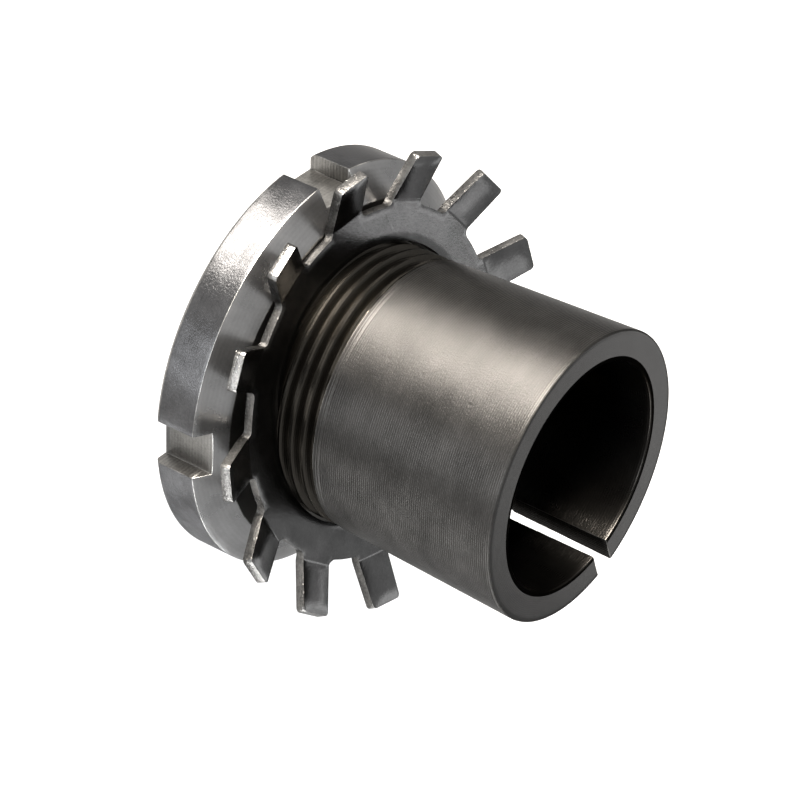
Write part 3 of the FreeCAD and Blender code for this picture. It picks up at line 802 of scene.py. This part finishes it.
def nut_blank():
    """A quarter of the nut's outside with one slot in its middle, and the whole thread."""
    bm = bmesh.new()
    kind_of = bm.faces.layers.int.new("kind")
    layers = {label: bm.verts.layers.float.new(label) for label in ("turn", "row", "helical", "on_thread")}
    cone_slope = (nut_width - nut_cone_start) / (nut_radius - nut_face)
    wall_reach = math.hypot(slot_floor, slot_half)
    half_quarter = TURN / 8
    quarter_columns = 2 * land_columns + slot_columns
    face_middle, cone_first, rim_height = 17.0, 0.9, nut_cone_start - nut_rim_start
    # Radius and height of each row, from the back face over the chamfer and the rim to the front face. The
    # rows marked "meet" run where the slot's floor meets the faces, and have no radius of their own.
    chamfer = nut_radius - nut_rim_start
    rows = [(nut_hole_edge, 0), (face_middle, 0), (nut_face, 0), ("meet", 0), (chamfer - 0.4, 0),
            (chamfer, 0), (nut_radius, nut_rim_start)]
    rows += [(nut_radius, nut_rim_start + rim_height * step / 8) for step in range(1, 9)]
    rows += [(nut_radius - cone_first, nut_cone_start + cone_first * cone_slope), ("meet", None),
             (nut_face, nut_width), (face_middle, nut_width), (nut_hole_edge, nut_width)]

    def spots(radius, height):
        """Places of one row across the quarter, the slot's walls included."""
        own = wall_reach if isinstance(radius, str) else radius
        free = min(max((own - nut_hole_edge) / (nut_face - nut_hole_edge), 0), 1)
        wall = math.asin(min(slot_half / own, 1))
        even = half_quarter * slot_columns / quarter_columns
        wall = even + (wall - even) * free
        made = []

        def level(reach):
            """The row's own height, or the height of the cone."""
            return nut_width - (reach - nut_face) * cone_slope if height is None else height

        for column in range(land_columns + 1):
            angle = -half_quarter + (half_quarter - wall) * column / land_columns
            made.append((own * math.cos(angle), own * math.sin(angle), level(own)))
        for column in range(slot_columns + 1):
            angle = wall * (2 * column / slot_columns - 1)
            x, y = own * math.cos(angle), own * math.sin(angle)
            if isinstance(radius, str) or radius > wall_reach:
                y = slot_half * (2 * column / slot_columns - 1)
                x = slot_floor
            reach = math.hypot(x, y)
            made.append((x, y, level(reach) if isinstance(radius, str) else height))
        for column in range(land_columns + 1):
            angle = wall + (half_quarter - wall) * column / land_columns
            made.append((own * math.cos(angle), own * math.sin(angle), level(own)))
        return made

    grid = []
    for radius, height in rows:
        grid.append([bm.verts.new(spot) for spot in spots(radius, height)])
    walls = (land_columns, land_columns + slot_columns + 1)
    for number in range(len(grid) - 1):
        height = rows[number][1]
        outside = height is not None and nut_rim_start <= height < nut_cone_start
        for column in range(len(grid[number]) - 1):
            in_slot = walls[0] <= column <= walls[1] and 4 <= number < len(grid) - 4
            ring, following = grid[number], grid[number + 1]
            face = bm.faces.new((ring[column], ring[column + 1], following[column + 1], following[column]))
            kind = STEEL_TURNED if outside else STEEL_FACED
            if in_slot:
                kind = STEEL_CUT
            face[kind_of] = kind

    count = slot_count * quarter_columns
    thread_grid = []
    first = (nut_rest - half_quarter) / TURN
    last = first + 1
    for row in helix_rows(0.0, nut_width, first, last):
        ring = []
        for column in range(count + 1):
            vert = bm.verts.new((nut_hole_edge, 0, nut_width / 2))
            vert[layers["turn"]] = first + column / count
            vert[layers["row"]] = row
            vert[layers["helical"]] = 1.0
            vert[layers["on_thread"]] = 1.0
            ring.append(vert)
        thread_grid.append(ring)
    for ring, following in zip(thread_grid, thread_grid[1:]):
        for column in range(count):
            face = bm.faces.new((ring[column], ring[column + 1], following[column + 1], following[column]))
            face[kind_of] = STEEL_THREAD
    return new_piece("slotted_lock_nut", bm)


nut_tree, given, out, thread, finish = threaded_tree("slotted nut")
nut_tree.interface.new_socket("Slots", in_out="INPUT", socket_type="NodeSocketInt")
nut_tree.interface.new_socket("Slot Turn", in_out="INPUT", socket_type="NodeSocketFloat")
given = nut_tree.nodes["Group Input"].outputs
on_thread = place(nut_tree, "FunctionNodeCompare", {"data_type": "FLOAT", "operation": "GREATER_THAN"},
                  i0=named(nut_tree, "on_thread"), i1=0.5).outputs[0]
parts = place(nut_tree, "GeometryNodeSeparateGeometry", {"domain": "POINT"}, Geometry=given["Geometry"],
              Selection=on_thread)
nut_tree.links.new(parts.outputs["Selection"], thread.inputs["Geometry"])
points, _, around = turned_round(nut_tree, given["Slots"], given["Slot Turn"])
ring = place(nut_tree, "GeometryNodeInstanceOnPoints", Points=points, Instance=parts.outputs["Inverted"],
             Rotation=around).outputs[0]
solid = place(nut_tree, "GeometryNodeRealizeInstances", Geometry=ring).outputs[0]
both = nut_tree.nodes.new("GeometryNodeJoinGeometry")
nut_tree.links.new(solid, both.inputs[0])
nut_tree.links.new(thread.outputs[0], both.inputs[0])
nut_tree.links.new(both.outputs[0], finish.inputs["Geometry"])
nut_tree.links.new(finish.outputs[0], out["Geometry"])

nut_steels = {
    "Turned": steel("nut_turned", (0.060, 0.0605, 0.0625), 0.32, grooves=4000.0, groove=0.003, grain=0.12,
                    pit=0.01, scratch=0.002, mottle=0.8, fine=0.35, fine_depth=0.006, stretch=0.97),
    "Thread": steel("nut_thread", (0.08, 0.078, 0.072), 0.36, stretch=0.4),
    "Faced": steel("nut_faced", (0.19, 0.19, 0.19), 0.28, feed="radius", grooves=2400.0, groove=0.002,
                   grain=0.12, mottle=0.3, scratch=0.001),
    "Bored": sleeve_steels["Bored"],
    "Cut": steel("nut_milled", (0.115, 0.114, 0.110), 0.36, feed="Z", grooves=2600.0, waver=1.0, groove=0.008,
                 grain=0.3, mottle=0.6, fine=0.4, fine_depth=0.004),
    "Edge": steel("nut_edge", (0.11, 0.11, 0.107), 0.34, grain=0.3, mottle=1.6, fine=0.8),
}
nut = grown(nut_blank(), nut_tree, {
    "Pitch": thread_pitch * MM, "Phase": thread_phase * MM, "Foot Radius": 15.05 * MM,
    "Tooth Height": 0.80 * MM, "Tooth Side": -1.0, "Crest Half": 0.12 * MM, "Flank Width": 0.46 * MM,
    "Crest Shift": 0.5, "Bottom": 0.0, "Top": nut_width * MM, "Bottom Height": -0.15 * MM,
    "Top Height": -0.15 * MM, "Land Foot": 1.0, "Land Slope": 1.0, "Slots": slot_count, "Slot Turn": nut_rest,
    **nut_steels,
})
outward(nut)


def weighted(piece, angle):
    """Marks the edges outside the thread that are sharper than an angle."""
    bm = bmesh.new()
    bm.from_mesh(piece.data)
    thread_mark = bm.verts.layers.float["on_thread"]
    weight = bm.edges.layers.float.get("bevel_weight_edge") or bm.edges.layers.float.new("bevel_weight_edge")
    for edge in bm.edges:
        free = all(v[thread_mark] < 0.25 for v in edge.verts)
        sharp = len(edge.link_faces) == 2 and edge.calc_face_angle() > math.radians(angle)
        edge[weight] = 1.0 if free and sharp else 0.0
    bm.to_mesh(piece.data)
    bm.free()


# The nut's flat face under the washer is painted near black, painted shade where the washer covers it, and
# the sides of the slots are brighter than their floors.
face_shade_steel = steel("nut_face_oiled", (0.035, 0.034, 0.032), 0.34, feed="radius", mottle=0.5)
side_steel = steel("nut_slot_sides", (0.14, 0.1375, 0.132), 0.30, grooves=2600.0, waver=1.0, groove=0.012,
                   grain=0.6, fine=0.4)
face_shade_number = finish_number(nut, face_shade_steel)
slot_sides = finish_number(nut, side_steel)
for face in nut.data.polygons:
    outward_part = face.normal.xy.dot(face.center.xy.normalized())
    # The flat face under the washer gets the near black steel: painted shade.
    if face.normal.z > 0.98:
        face.material_index = face_shade_number
    elif nut.data.materials[face.material_index].name == "nut_milled" and abs(outward_part) < 0.5:
        face.material_index = slot_sides
weighted(nut, 22)
bevelled(nut, 0.06, nut_steels["Edge"], "WEIGHT", clamped=False)
shaded(nut, 28)
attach(nut, "nut")
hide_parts("lock_nut")


# The studio: a pale floor that the nut stands on, a soft lamp at one side that draws the bright band along
# the taper, two low wide fills, and three small near panels for the washer and the large face. The camera has
# the photograph's angle, roll and field of view.
def seen_directly(tree):
    """One where the camera or a reflection sees it, and nought for the light that it gives."""
    ray = tree.nodes.new("ShaderNodeLightPath").outputs
    seen = maths(tree, "MAXIMUM", ray["Is Camera Ray"], ray["Is Glossy Ray"])
    return maths(tree, "MAXIMUM", seen, ray["Is Transmission Ray"])


def pale(name, glow_share, colour):
    """White where the camera or a reflection sees it, with a share of real light for the shadow."""
    material = bpy.data.materials.new(name)
    material.use_nodes = True
    tree = material.node_tree
    tree.nodes.clear()
    strength = maths(tree, "MULTIPLY", seen_directly(tree), glow_share)
    glow = place(tree, "ShaderNodeEmission", Color=(1, 1, 1, 1), Strength=strength)
    lit = place(tree, "ShaderNodeBsdfDiffuse", Color=(*colour, 1))
    both = place(tree, "ShaderNodeAddShader", i0=lit.outputs[0], i1=glow.outputs[0]).outputs[0]
    out = tree.nodes.new("ShaderNodeOutputMaterial")
    tree.links.new(both, out.inputs["Surface"])
    return material


floor_radius = 4000
lamp_aim = 18
bm = bmesh.new()
bmesh.ops.create_circle(bm, cap_ends=True, radius=floor_radius, segments=96)
floor = new_piece("studio_floor", bm)
floor.data.materials.append(pale("studio_floor_white", 0.88, (0.3, 0.3, 0.3)))


def towards(azimuth, elevation):
    """The direction from the object to a place at these angles, in degrees."""
    turn, rise = math.radians(azimuth), math.radians(elevation)
    return Vector((math.cos(turn) * math.cos(rise), math.sin(turn) * math.cos(rise), math.sin(rise)))


def lamp(name, azimuth, elevation, distance, width, height, radiance, colour=(1, 1, 1)):
    """An area lamp that faces the sleeve's middle: angles in degrees, distance and size in metres."""
    data = bpy.data.lights.new(name, "AREA")
    data.shape = "RECTANGLE"
    data.size, data.size_y = width, height
    data.energy = radiance * math.pi * width * height
    data.color = colour
    lamp_object = bpy.data.objects.new(name, data)
    bpy.context.scene.collection.objects.link(lamp_object)
    away = towards(azimuth, elevation)
    lamp_object.location = away * distance + Vector((0, 0, lamp_aim * MM))
    lamp_object.rotation_mode = "QUATERNION"
    lamp_object.rotation_quaternion = away.to_track_quat("Z", "Y")


lamp("side_strip", azimuth=-193, elevation=10.5, distance=1.0, width=0.74, height=0.34, radiance=212.0,
     colour=(1.0, 0.93, 0.85))
lamp("low_fill", azimuth=-126, elevation=8, distance=1.2, width=0.55, height=0.30, radiance=31.0,
     colour=(0.95, 0.97, 1.0))
lamp("far_fill", azimuth=-52, elevation=8, distance=1.2, width=1.8, height=0.30, radiance=28.0)
lamp("washer_panel", azimuth=50, elevation=44, distance=0.32, width=0.06, height=0.09, radiance=3.0)
lamp("face_panel", azimuth=37.5, elevation=27, distance=0.32, width=0.135, height=0.05, radiance=4.2)
lamp("top_panel", azimuth=-3, elevation=54, distance=0.32, width=0.12, height=0.14, radiance=1.8)

world = bpy.data.worlds.new("studio_world")
bpy.context.scene.world = world
world.use_nodes = True
tree = world.node_tree
tree.nodes.clear()
world_light = 0.35
strength = maths(tree, "MULTIPLY_ADD", seen_directly(tree), 1 - world_light, world_light)
sky = place(tree, "ShaderNodeBackground", Color=(1, 1, 1, 1), Strength=strength)
out = tree.nodes.new("ShaderNodeOutputWorld")
tree.links.new(sky.outputs[0], out.inputs["Surface"])

camera_azimuth, camera_elevation = -151.7, 28.648
camera_roll = math.radians(114.3796)
camera_target = Vector((0.541, -0.242, 14.298))
camera_distance = 400.0
camera_data = bpy.data.cameras.new("photo_camera")
camera_data.sensor_width = 36
camera_data.lens = 174.5986
camera_data.clip_start, camera_data.clip_end = 0.01, 20
camera = bpy.data.objects.new("photo_camera", camera_data)
bpy.context.scene.collection.objects.link(camera)
back = towards(camera_azimuth, camera_elevation)
level_right = towards(camera_azimuth + 90, 0)
right = level_right * math.cos(camera_roll) + back.cross(level_right) * math.sin(camera_roll)
turned = Matrix((right, back.cross(right), back)).transposed().to_4x4()
camera.matrix_world = Matrix.Translation((camera_target + back * camera_distance) * MM) @ turned
bpy.context.scene.camera = camera
bpy.context.scene.view_settings.view_transform = "Standard"
